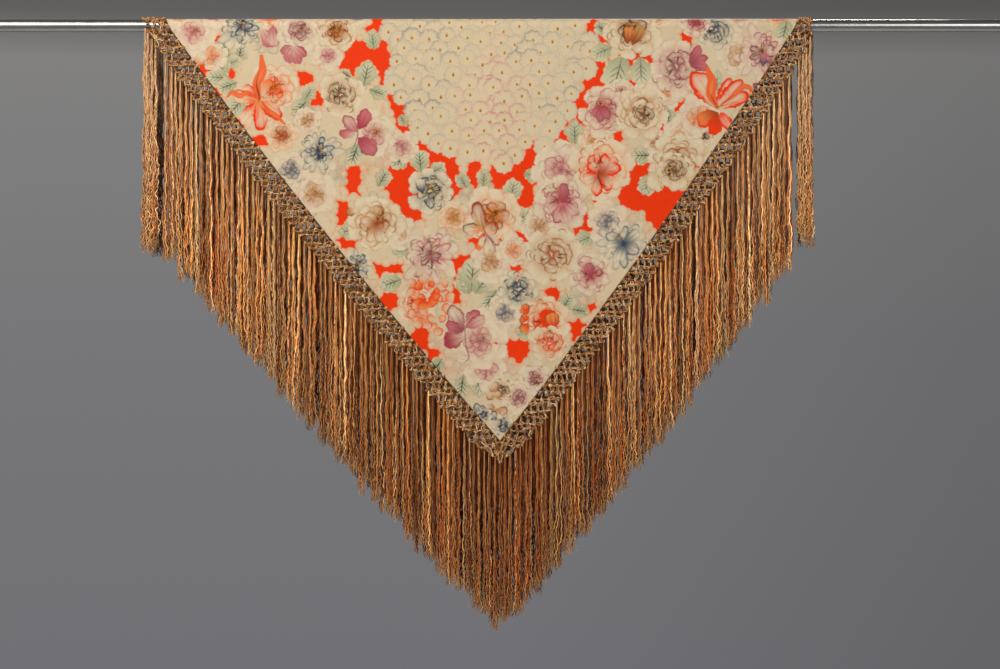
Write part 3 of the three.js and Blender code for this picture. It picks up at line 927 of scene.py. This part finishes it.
def hem(layer, side, dice):
    """The rolled edge of the silk and the stitches that whip it down, both painted dark as painted shadow
    along the silk's edge.
    """
    length = EDGES[side]["length"]
    along = np.linspace(0, length, int(length / 5))
    x, v = beside(side, along, HEM_ROLL)
    # the roll is painted nearly black-brown: painted shadow where the silk's edge meets the net
    roll = tubes(place(layer, x, v)[None], HEM_ROLL, 6, TAN * 0.22, (0, 1, 0.01))
    stitches = np.arange(1.5, length, STITCH_PITCH)[:, None]
    turn = np.linspace(-0.3, math.pi + 0.3, 6)[None]
    along = stitches + 2.4 * turn / math.pi + dice.normal(0, 0.3, (len(stitches), 1))
    x, v = beside(side, along, HEM_ROLL - 1.9 * np.cos(turn))
    path = place(layer, x, v, 1.9 * np.sin(turn))
    # the stitches are painted darker too: painted shade
    colours = thread_colours(dice, len(stitches))[:, None] * 0.4
    return joined([roll, tubes(path, 0.55, 4, colours, (0.3, 0.2, 0.9))])


NET_PITCH = 16.5
NET_ROWS = 4
NET_TOP = 3.6
NET_BOTTOM = 46.5


def net(layer, side, dice, pitch, thread_sides):
    """The header: a knotted net of doubled floss between the hem and the cords."""
    length = EDGES[side]["length"]
    columns = int(round(length / pitch))
    pitch = length / columns
    step = (NET_BOTTOM - NET_TOP) / NET_ROWS
    starts, ends, knots = [], [], []
    # the layer that hangs behind is set half a mesh aside, thicker, and painted darker: painted shade, as
    # it hangs in the front layer's shadow
    staggered = layer == "back"
    painted_shade, thickness = (0.55, 1.6) if staggered else (1.0, 1.0)
    for row in range(NET_ROWS + 1):
        for i in range(columns + 1):
            along = (i + 0.5 * ((row + staggered) % 2)) * pitch
            if along > length + 1:
                continue
            if not (i == 0 and row % 2 == 0 and side == "right"):
                knots.append((along, NET_TOP + row * step))
            if row == NET_ROWS:
                continue
            for shift in (-0.5, 0.5):
                other = along + shift * pitch
                if -1 < other < length + 1:
                    starts.append((along, NET_TOP + row * step))
                    ends.append((other, NET_TOP + (row + 1) * step))
    starts, ends, knots = (np.array(a) for a in (starts, ends, knots))
    wander = lambda spots: 2.3 * np.stack(
        [np.sin(spots[:, 0] * 1.7 + spots[:, 1]), np.cos(spots[:, 0] * 0.9 + 2.3 * spots[:, 1])], -1
    )
    starts, ends, knots = starts + wander(starts), ends + wander(ends), knots + wander(knots)
    parts = []
    t = np.linspace(0, 1, 7)[None]
    for strand in range(3):
        phase = dice.uniform(-0.5, 0.5, (len(starts), 1)) + 2 * math.pi / 3 * strand
        spin = phase + 2.2 * math.pi * t
        bow, lift = dice.normal(0, 2.2, (2, len(starts), 1)) * np.sin(math.pi * t)
        along = starts[:, :1] + (ends - starts)[:, :1] * t + 1.4 * np.cos(spin) + bow
        outward = starts[:, 1:] + (ends - starts)[:, 1:] * t + 0.8 * np.cos(spin) + lift
        x, v = beside(side, along, outward)
        path = place(layer, x, v, 1.5 * np.sin(spin) + 0.4)
        colours = thread_colours(dice, len(starts))[:, None] * painted_shade
        parts.append(tubes(path, thickness, thread_sides, colours, (0.15, 1, 0.1)))
    # each knot is two loops round a small core
    turn = np.arange(9)[None] * 2 * math.pi / 9
    for loop in range(3):
        tilt = dice.uniform(0, math.pi, (len(knots), 1)) + loop * 1.1
        size = dice.uniform(2.2, 3.4, (len(knots), 1)) * (0.5 if loop == 2 else 1)
        size = np.where(knots[:, 1:] > NET_BOTTOM - 6, 0.6 * size, size)
        lean = dice.uniform(0.35, 0.9, (len(knots), 1))
        along = knots[:, :1] + size * (np.cos(turn) * np.cos(tilt) - lean * np.sin(turn) * np.sin(tilt))
        outward = knots[:, 1:] + size * (np.cos(turn) * np.sin(tilt) + lean * np.sin(turn) * np.cos(tilt))
        x, v = beside(side, along, outward)
        path = place(layer, x, v, 1.4 + 2.0 * np.sqrt(1 - lean**2) * np.sin(turn))
        colours = thread_colours(dice, len(knots))[:, None] * 1.08 * painted_shade
        parts.append(tubes(path, 1.25 * thickness, 4, colours, (0.11, 1, 0.07), closed=True))
    return joined(parts)


# ---------------------------------------------------------------- the fringe

GROUP_PLACES = ("upper", "middle", "lower")
CORNER_WIDTH = 46.0
APEX_GROUP_HALF = 27.0
CORNER_BOTTOM = {"left": -482.0, "right": -455.0}
DROP_AT_FOLD = 490.0
DROP_AT_APEX = 412.0
APEX_DROP = 385.0
COLUMN_STEP = 10.6
ROOT_OUTWARD = 45.0
FLOSS = [rgb(222, 162, 98), rgb(196, 112, 52), rgb(192, 152, 118), rgb(248, 212, 160), rgb(128, 68, 32)]
FLOSS_SHARE = (0.34, 0.25, 0.13, 0.14, 0.14)


def tip_height(side, x):
    """How low the cords hang at x."""
    points = EDGES[side]["points"][:600]
    order = np.argsort(points[:, 0])
    inside = np.clip(x, points[order[0], 0], points[order[-1], 0])
    edge = np.interp(inside, points[order, 0], points[order, 1])
    return edge - (DROP_AT_FOLD + (DROP_AT_APEX - DROP_AT_FOLD) * edge / APEX_V)


def root_height(side, x):
    """Where the cords at x leave the header."""
    along = np.linspace(0, EDGES[side]["length"], 500)
    bx, bv = beside(side, along, ROOT_OUTWARD)
    order = np.argsort(bx)
    return np.minimum(np.interp(x, bx[order], bv[order]), -3.0)


def group_spans():
    """Each group of cords: its name, side, and its first and last x."""
    spans = []
    for side, sign in SIDES.items():
        end = sign * HEADER_END[side]
        corner = end - sign * CORNER_WIDTH
        inner = APEX_X + sign * APEX_GROUP_HALF
        spans.append((f"{side}_corner", side, end, corner))
        for i, name in enumerate(GROUP_PLACES):
            x0 = corner + (inner - corner) * i / 3
            x1 = corner + (inner - corner) * (i + 1) / 3
            spans.append((f"{side}_{name}", side, x0, x1))
    spans.append(("apex", "left", APEX_X - APEX_GROUP_HALF, APEX_X + APEX_GROUP_HALF))
    return [(name, side, min(a, b), max(a, b)) for name, side, a, b in spans]


# How each layer's bundles are made: how many strands, the step they are drawn with, their sides and
# range of radius, how evenly they lie abreast, how far a bundle strays, how much painted shade darkens its
# floss, and how much painted shade dims the painted light at its top; the back layer, in the front layer's
# shadow, is darker.
BUNDLES = {
    "front": {
        "strands": 10, "step": 5.5, "sides": 4, "radius": (0.75, 1.15),
        "evenly": 0.0, "stray": 0.9, "painted_shade": [1.0, 1.0, 1.0], "top_light_tone": 1.0,
    },
    "back": {
        "strands": 8, "step": 9.0, "sides": 3, "radius": (1.1, 1.5),
        "evenly": 0.94, "stray": 0.3, "painted_shade": [0.68, 0.54, 0.44], "top_light_tone": 0.58,
    },
}
QUICK_BUNDLE = {"strands": 6, "step": 12.0}
LONGEST_CORD = 460.0
# The pale colour the floss is turned toward high up: painted light.
PAINTED_TOP_LIGHT = rgb(212, 182, 154)
FRAY_ROOT = -4


def bundle_places(layer, name, side, low, high, stray, dice):
    """The x of each bundle of a group."""
    columns = max(2, int(round((high - low) / COLUMN_STEP)))
    share = (np.arange(columns) + 0.5) / columns
    centres = low + (high - low) * share
    if name.endswith("corner"):
        centres = low + (11 if side == "right" else 5) + (high - low - 16) * share
    if layer == "back":
        centres = np.clip(centres + 0.5 * COLUMN_STEP, low + 3, high - 3)
    return centres + dice.normal(0, stray, columns)


def roots_and_tips(name, side, centre, knot):
    """The heights between which the strands hang, for bundles at centre with strands tied at knot."""
    if name == "apex":
        pull = 1 - np.abs(centre - APEX_X) / APEX_GROUP_HALF
        tip = np.where(centre < APEX_X, tip_height("left", centre), tip_height("right", centre))
        tip = tip + (APEX_V - APEX_DROP - tip) * np.clip(pull, 0, 1)
        return np.maximum(root_height("left", knot), root_height("right", knot)), tip
    if name.endswith("corner"):
        return root_height(side, knot), np.full_like(centre, CORNER_BOTTOM[side])
    return root_height(side, knot), tip_height(side, centre)


def cords(layer, name, side, low, high, dice, made):
    """One group: bundles of crinkled floss, each tied to a knot of the header and frayed at its tip."""
    strands, evenly = made["strands"], made["evenly"]
    centres = bundle_places(layer, name, side, low, high, made["stray"], dice)
    columns = len(centres)
    centre = np.repeat(centres, strands)[:, None]
    count = len(centre)
    each = lambda least, most: np.repeat(dice.uniform(least, most, columns), strands)[:, None]
    # behind, the strands of a bundle lie side by side; in front they lie round
    abreast = np.tile((np.arange(strands) + 0.5) / strands * 2 - 1, columns)[:, None]
    root, tip = roots_and_tips(name, side, centre, centre + 5.0 * evenly * abreast)
    bundle = np.repeat(dice.normal(0, 10.0, columns), strands)[:, None]
    tip = tip + bundle + 6 + np.abs(dice.normal(0, 11.0, (count, 1)))
    t = np.linspace(0, 1, int(LONGEST_CORD / made["step"]))[None]
    fall = (root - tip) * t
    z = root - fall
    # where each strand runs in its bundle
    part = np.tile(np.arange(strands), columns)[:, None] * 2 * math.pi / strands
    if layer == "front":
        spread = 1.2 + 1.7 * smooth(fall / 50) + 3.0 * smooth((fall - 60) / 300)
    else:
        spread = 5.5 + 0.9 * smooth(fall / 60)
    twist = each(-1, 1)
    spin = part + twist * fall / 120 + dice.normal(0, 0.4, (count, 1)) + 0.5 * np.sin(fall / 83 + part)
    inner = dice.uniform(0.3, 1.1, (count, 1))
    # the crinkle of each strand, the sway of its bundle, and the loose end
    wave_a, wave_b = dice.uniform(11, 17, (count, 1)), dice.uniform(30, 54, (count, 1))
    shift_a, shift_b = dice.uniform(0, 6.3, (count, 1)), dice.uniform(0, 6.3, (count, 1))
    loose = smooth(fall / 45) * (0.5 + 1.5 * t**2) * (2.0 if name.endswith("corner") else 1.0)
    fine, slow = fall * 2 * math.pi / wave_a, fall * 2 * math.pi / wave_b
    crinkle = loose * (0.6 * np.sin(fine + shift_a) + 0.7 * np.sin(slow + shift_b))
    ripple = loose * (0.5 * np.cos(fine + shift_b) + 0.6 * np.sin(slow))
    sway = smooth(fall / 90) * (
        each(0.4, 1.9) * np.sin(fall / each(14, 24) + each(0, 6.3))
        + each(0.2, 0.9) * np.sin(fall / each(6, 9.5) + each(0, 6.3))
    )
    end_wave = 1.3 * np.sin(fall * 2 * math.pi / 13 + shift_a)
    splay = smooth((t - 0.88) / 0.12) * (dice.normal(0, 2.6, (count, 1)) + end_wave)
    sideways = evenly * abreast + (1 - evenly) * inner * np.cos(spin)
    x = centre + spread * sideways + crinkle + sway + splay
    depth = np.clip(0.9 * spread * inner * np.sin(spin) + ripple + 0.4 * splay, -7, 7)
    path = place(layer, x, z, depth)
    radius = dice.uniform(*made["radius"], (count, 1)) * (1 - 0.5 * smooth((t - 0.94) / 0.06))
    radius = radius * (1 + 0.14 * np.sin(fall * 2 * math.pi / 9 + shift_a))
    # the colours: painted light turns the floss paler and lighter high up, painted shade darkens it low
    # down, and its ends are paler
    colour = np.array(FLOSS)[dice.choice(len(FLOSS), count, p=FLOSS_SHARE)]
    colour = colour * each(0.86, 1.18) * np.exp(0.3 * np.clip(dice.standard_normal((count, 1)), -2.5, 2))
    high_up = smooth((z + 520) / 480)[..., None]
    low_down = smooth((-z - 440) / 600)[..., None]
    top_light = (0.62 if name.endswith("corner") else 0.42) * high_up
    # painted shade darkens the back layer, which hangs in the front layer's shadow
    shades = (colour * made["painted_shade"])[:, None] * (1 - top_light) + PAINTED_TOP_LIGHT * made["top_light_tone"] * top_light
    # painted light lifts the top and painted shade darkens the bottom
    shades = shades * ([1.24, 1.19, 0.98] + 0.04 * high_up - low_down * [0.48, 0.6, 0.62])
    ends = (0.3 * smooth((t - 0.84) / 0.16))[..., None]
    shades = shades * (1 - ends) + rgb(218, 172, 112) * ends
    # painted highlights and shade that come and go along each strand, where its twist turns
    twist_light = 0.1 * np.sin(fall / 23 + shift_b) + 0.2 * np.sin(fall / 4.6 + shift_a)
    shades = shades * (1 + twist_light)[..., None]
    # painted shade: strands that lie inward in a bundle are darker, those outward lighter
    shades = shades * np.clip(0.86 + 0.075 * depth, 0.4, 1.15)[..., None]
    parts = [tubes(path, radius, made["sides"], shades, (0.05, 1, 0.02))]
    return joined(parts + frayed_tips(path[:, FRAY_ROOT], shades[:, FRAY_ROOT, None], dice))


def frayed_tips(begin, shades, dice):
    """Fine fibres that leave the strands at the points given."""
    fibre = np.linspace(0, 1, 5)[None]
    count = len(begin)
    parts = []
    for _ in range(2):
        reach = dice.uniform(9, 22, (count, 1))
        aside, forward = dice.normal(0, 3.0, (count, 1)), dice.normal(0, 2.0, (count, 1))
        curl = dice.uniform(0, 6.3, (count, 1))
        x = begin[:, :1] + aside * fibre + np.sin(4 * fibre + curl) * fibre
        y = begin[:, 1:2] + forward * fibre
        z = begin[:, 2:] - reach * fibre
        tint = shades * 0.6 + rgb(222, 180, 124) * 0.4
        path = np.stack([x, y, z], axis=-1)
        parts.append(tubes(path, 0.42 * (1.1 - 0.8 * fibre), 3, tint, (0.05, 1, 0.02)))
    return parts


# ---------------------------------------------------------------- building it


def metres(*values):
    return tuple(v * MM for v in values)


JOINTS = {joint["name"]: joint for joint in frame["joints"]}
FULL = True
SILK_ROWS = {"front": 740, "back": 440}
QUICK_ROWS = 300
PRINT_SEED = 5


def bend_over_fold(piece):
    """Bakes the piece's placing into its mesh; the turn over the fold is already in its shape."""
    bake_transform(piece)


def build_layer(layer):
    """One hanging half of the shawl with its edging, and the same half of what lies over the rail."""
    front = layer == "front"
    dice = np.random.default_rng(11 if front else 23)
    cloth = silk_layer(layer, SILK_ROWS[layer] if FULL else QUICK_ROWS, PRINT_SEED)
    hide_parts(f"silk_{layer}", *(["silk_fold"] if front else []))
    bend_over_fold(cloth)
    edging = []
    for side in SIDES:
        roll = mesh_piece(f"whipped_hem_{layer}_{side}", *hem(layer, side, dice), HEM)
        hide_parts(f"hem_{layer}_{side}", *([f"hem_fold_{side}"] if front else []))
        knotted = net(layer, side, dice, NET_PITCH, 5 if front else 4)
        mesh = mesh_piece(f"knotted_net_{layer}_{side}", *knotted, NET)
        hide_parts(f"header_{layer}_{side}", *([f"header_fold_{side}"] if front else []))
        bend_over_fold(roll)
        bend_over_fold(mesh)
        edging += [roll, mesh]
    made = BUNDLES[layer] if FULL else {**BUNDLES[layer], **QUICK_BUNDLE}
    for name, side, low, high in group_spans():
        hanging = cords(layer, name, side, low, high, dice, made)
        piece = mesh_piece(f"cords_{layer}_{name}", *hanging, CORDS)
        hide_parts(f"fringe_{layer}_{name}")
        hinge = JOINTS[f"swing_{layer}_{name}"]
        axis = hinge["axis"]
        away = np.array([-axis[2], 0.0, axis[0]], float)
        away *= -1 if away[2] > 0 else 1
        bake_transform(piece)
        edging.append(piece)
    return cloth


# ---------------------------------------------------------------- camera, light and floor

VIEW_CENTRE = (38.0, -646.0)
VIEW_WIDTH = 2100.0
LENS = 85.0
SENSOR = 36.0
# Each light: its name, where it stands and what it faces in metres, its size, power and colour.
LIGHTS = [
    ("key", (-2.0, -3.2, 1.9), (0, 0, -0.45), (1.0, 0.8), 140, (1.0, 0.955, 0.885)),
    ("fill", (2.2, -3.6, 0.6), (0, 0, -0.5), (1.6, 1.4), 34, (0.95, 0.97, 1.0)),
    ("back", (0.9, 3.2, 1.4), (0, 0, -0.5), (1.4, 1.0), 84, (1.0, 0.98, 0.95)),
]
# The grey surround from below the level to above it.
SURROUND = [
    (0.0, rgb(112, 112, 116)), (0.5, rgb(119, 119, 121)), (0.86, rgb(130, 129, 128)),
    (0.92, rgb(98, 96, 95)), (1.0, rgb(84, 82, 81)),
]
FLOOR_Z = -1560.0
FLOOR_HALF_X, FLOOR_HALF_Y = 1750.0, 1150.0
FLOOR_SIDES = 96
RAIL_RADIUS = 13.0
RAIL_CENTRE_Z = 4.6
RAIL_ENDS = (-1700, 1760)


def area_light(name, place_m, aim_m, size_m, power, colour):
    light = bpy.data.lights.new(name, "AREA")
    light.shape = "RECTANGLE"
    light.size, light.size_y = size_m
    light.energy = power
    light.color = colour
    lamp = bpy.data.objects.new(name, light)
    lamp.location = place_m
    ahead = Vector(aim_m) - Vector(place_m)
    lamp.rotation_euler = ahead.to_track_quat("-Z", "Y").to_euler()
    bpy.context.scene.collection.objects.link(lamp)


def camera_and_lights():
    scene = bpy.context.scene
    lens = bpy.data.cameras.new("camera")
    lens.lens, lens.sensor_width = LENS, SENSOR
    camera = bpy.data.objects.new("camera", lens)
    distance = VIEW_WIDTH * LENS / SENSOR
    camera.location = metres(VIEW_CENTRE[0], -distance - FOLD_RADIUS, VIEW_CENTRE[1])
    camera.rotation_euler = (math.pi / 2, 0, 0)
    scene.collection.objects.link(camera)
    scene.camera = camera
    scene.view_settings.view_transform = "Standard"
    for light in LIGHTS:
        area_light(*light)


def backdrop_and_floor():
    """A grey surround that darkens a little downward, and a pale round floor well below."""
    world = bpy.data.worlds.new("surround")
    bpy.context.scene.world = world
    world.use_nodes = True
    tree = world.node_tree
    where = tree.nodes.new("ShaderNodeTexCoord")
    split = tree.nodes.new("ShaderNodeSeparateXYZ")
    ramp = tree.nodes.new("ShaderNodeValToRGB")
    lift = tree.nodes.new("ShaderNodeMapRange")
    lift.inputs["From Min"].default_value, lift.inputs["From Max"].default_value = -0.16, 0.16
    tree.links.new(where.outputs["Generated"], split.inputs[0])
    tree.links.new(split.outputs["Z"], lift.inputs["Value"])
    tree.links.new(lift.outputs["Result"], ramp.inputs["Fac"])
    shade = tree.nodes.new("ShaderNodeMapRange")
    for key, value in {"From Min": 0.0, "From Max": 0.2, "To Min": 1.0, "To Max": 0.78}.items():
        shade.inputs[key].default_value = value
    tree.links.new(split.outputs["X"], shade.inputs["Value"])
    shaded = tree.nodes.new("ShaderNodeVectorMath")
    shaded.operation = "SCALE"
    tree.links.new(ramp.outputs["Color"], shaded.inputs[0])
    tree.links.new(shade.outputs["Result"], shaded.inputs["Scale"])
    tree.links.new(shaded.outputs[0], tree.nodes["Background"].inputs["Color"])
    while len(ramp.color_ramp.elements) < len(SURROUND):
        ramp.color_ramp.elements.new(0.5)
    for element, (spot, colour) in zip(ramp.color_ramp.elements, SURROUND):
        element.position = spot
        element.color = (*colour, 1)
    n = Nodes("pale_floor")
    where = n.add("ShaderNodeTexCoord").outputs["Object"]
    pale = n.add("ShaderNodeRGB").outputs[0]
    pale.default_value = (0.6, 0.6, 0.59, 1)
    n.link(n.shaded(pale, n.remap(n.noise(where, 3.0), 0.97, 1.03)), "Base Color")
    n.constant(Roughness=0.8)
    i = np.arange(FLOOR_SIDES)
    j = (i + 1) % FLOOR_SIDES
    turn = i * 2 * math.pi / FLOOR_SIDES
    round_points = np.stack([FLOOR_HALF_X * np.cos(turn), FLOOR_HALF_Y * np.sin(turn), 0 * turn], axis=-1)
    centre = np.array([APEX_X, 0, FLOOR_Z])
    points = np.concatenate([centre + round_points, centre + 0.5 * round_points, centre[None]])
    outer_faces = np.stack([i, j, FLOOR_SIDES + j, FLOOR_SIDES + i], axis=-1)
    middle = np.full(FLOOR_SIDES, 2 * FLOOR_SIDES)
    inner_faces = np.stack([FLOOR_SIDES + i, FLOOR_SIDES + j, middle], axis=-1)
    floor = mesh_piece("floor", points, outer_faces, 0.6, n.material)
    disc = mesh_piece("floor_middle", points, inner_faces, 0.6, n.material)


def display_rail():
    """The steel rail that carries the shawl. It isn't part of the object."""
    n = Nodes("brushed_steel")
    where = n.add("ShaderNodeTexCoord").outputs["Object"]
    n.link(n.remap(n.noise(where, 40.0), 0.24, 0.36), "Roughness")
    n.constant(Metallic=1.0, Base_Color=(*rgb(196, 194, 190), 1))
    x = np.linspace(*RAIL_ENDS, 60)
    path = np.stack([x, np.zeros(60), np.full(60, RAIL_CENTRE_Z)], axis=-1)[None]
    tube = tubes(path, RAIL_RADIUS, 48, np.array([0.5, 0.5, 0.5]), (0, 0, 1))
    rail = mesh_piece("display_rail", *tube, n.material)


camera_and_lights()
backdrop_and_floor()
display_rail()
for layer in LAYERS:
    build_layer(layer)
